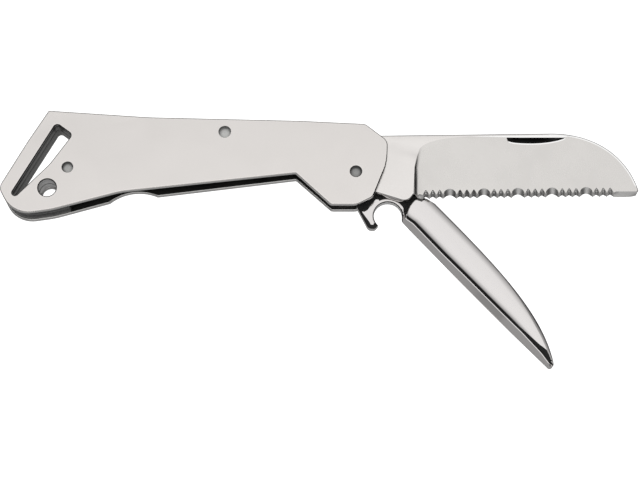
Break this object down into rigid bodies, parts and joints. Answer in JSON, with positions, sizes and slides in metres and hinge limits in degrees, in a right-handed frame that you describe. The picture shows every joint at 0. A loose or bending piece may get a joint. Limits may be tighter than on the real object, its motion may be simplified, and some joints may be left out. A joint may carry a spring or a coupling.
{
  "type": "rigging knife",
  "caption": "All-steel folding rigging knife with a serrated sheepsfoot blade, a marlin spike with a bottle-opener hook, a flat plate handle, a tapered key slot and a lanyard hole.",
  "frame": {"origin": "centre of the knife's box in X and Y, on the back face of the rear plate, with the blade open and the spike half open", "axes": "+X along the open blade to its tip, +Y to the back of the handle, +Z out of the front plate; the knife lies on its rear plate"},
  "size_m": [0.1836, 0.0752, 0.0099],
  "materials": {
    "satin_steel": "fine satin stainless sheet",
    "ground_steel": "finely ground stainless blade",
    "polished_steel": "bright polished stainless",
    "spring_steel": "darker stamped spring steel",
    "rivet_steel": "peened stainless pin"
  },
  "bodies": {
    "handle": {"front_plate": "satin_steel", "rear_plate": "satin_steel", "blade_spring": "spring_steel", "spike_spring": "spring_steel", "pivot_rivet": "rivet_steel", "spring_rivet": "rivet_steel", "butt_rivet": "rivet_steel"},
    "blade": {"blade": "ground_steel"},
    "spike": {"marlin_spike": "polished_steel"}
  },
  "joints": [
    {"name": "blade_pivot", "type": "hinge", "parent": "handle", "child": "blade", "pos_m": [0.01036, 0.019, 0.0064], "axis": [0, 0, 1], "range_deg": [-183, 0]},
    {"name": "spike_pivot", "type": "hinge", "parent": "handle", "child": "spike", "pos_m": [0.01036, 0.019, 0.00332], "axis": [0, 0, 1], "range_deg": [-135.3, 44.7]}
  ]
}
